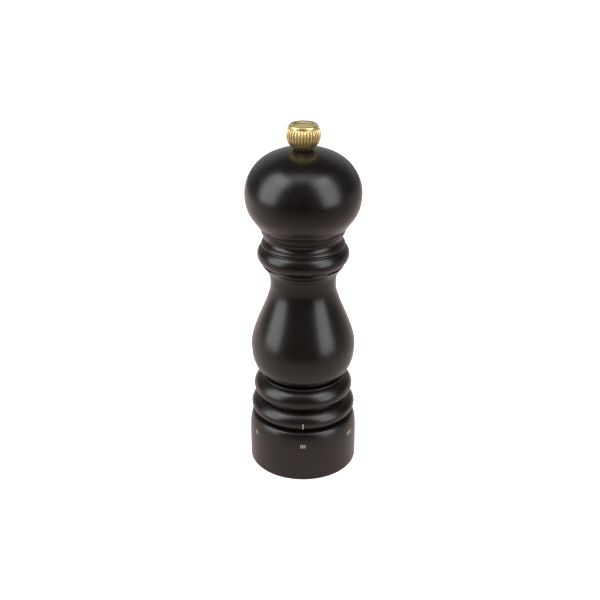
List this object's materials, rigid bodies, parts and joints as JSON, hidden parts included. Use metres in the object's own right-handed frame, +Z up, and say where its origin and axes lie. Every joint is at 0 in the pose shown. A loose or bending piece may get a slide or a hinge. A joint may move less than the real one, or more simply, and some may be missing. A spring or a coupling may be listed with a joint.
{
  "type": "pepper mill",
  "caption": "Turned dark wood table pepper mill with a ribbed brass knob, a base ring that sets the grind and a steel burr mechanism on a square shaft.",
  "frame": {"origin": "centre of the foot, on the surface that the mill stands on", "axes": "+Z up the mill's axis, -Y to the front, where the index tick is"},
  "size_m": [0.0562, 0.0562, 0.179],
  "materials": {
    "dark_wood": "satin dark lacquer over turned beech",
    "brass": "polished, lightly worn",
    "steel": "brushed",
    "burr_steel": "case hardened, dark",
    "spring_steel": "drawn wire",
    "felt": "pressed felt",
    "marking_paint": "matt pad-printed paint"
  },
  "bodies": {
    "root": {"mill_body": "dark_wood", "stator_housing": "steel", "housing_screws": "steel", "bearing_bridge": "steel", "shaft_bush": "brass", "crown_spring": "spring_steel", "retaining_ring": "spring_steel", "detent_ball": "steel", "detent_spring": "spring_steel"},
    "ring": {"adjusting_ring": "dark_wood", "threaded_sleeve": "brass", "detent_plate": "steel"},
    "crown": {"burr_carrier": "steel", "female_burr": "burr_steel"},
    "drive": {"drive_shaft": "steel", "thrust_washer": "brass", "shaft_clip": "spring_steel", "male_burr": "burr_steel", "burr_pin": "spring_steel", "burr_washer": "steel", "burr_nut": "steel"},
    "head": {"head": "dark_wood", "head_ferrule": "brass", "drive_plate": "steel", "drive_plate_screws": "steel"},
    "washer": {"knob_washer": "felt"},
    "knob": {"knob": "brass", "knob_insert": "steel"}
  },
  "joints": [
    {"name": "ring_turn", "type": "hinge", "parent": "root", "child": "ring", "pos_m": [0, 0, 0.012], "axis": [0, 0, 1], "range_deg": [-180, 120]},
    {"name": "crown_lift", "type": "slide", "parent": "root", "child": "crown", "axis": [0, 0, 1], "range_m": [-0.00063, 0.00094], "deforming": ["crown_spring"]},
    {"name": "head_turn", "type": "hinge", "parent": "root", "child": "drive", "pos_m": [0, 0, 0.04], "axis": [0, 0, 1], "continuous": true},
    {"name": "head_lift", "type": "slide", "parent": "drive", "child": "head", "axis": [0, 0, 1], "range_m": [0, 0.07]},
    {"name": "knob_lift", "type": "slide", "parent": "head", "child": "washer", "axis": [0, 0, 1], "range_m": [0, 0.008]},
    {"name": "knob_unscrew", "type": "hinge", "parent": "washer", "child": "knob", "pos_m": [0, 0, 0.17], "axis": [0, 0, 1], "range_deg": [0, 3600]}
  ],
  "couplings": [
    {"joint": "ring_turn", "follows": "crown_lift", "rad_per_m": -3333.3},
    {"joint": "knob_unscrew", "follows": "knob_lift", "rad_per_m": 7854}
  ]
}
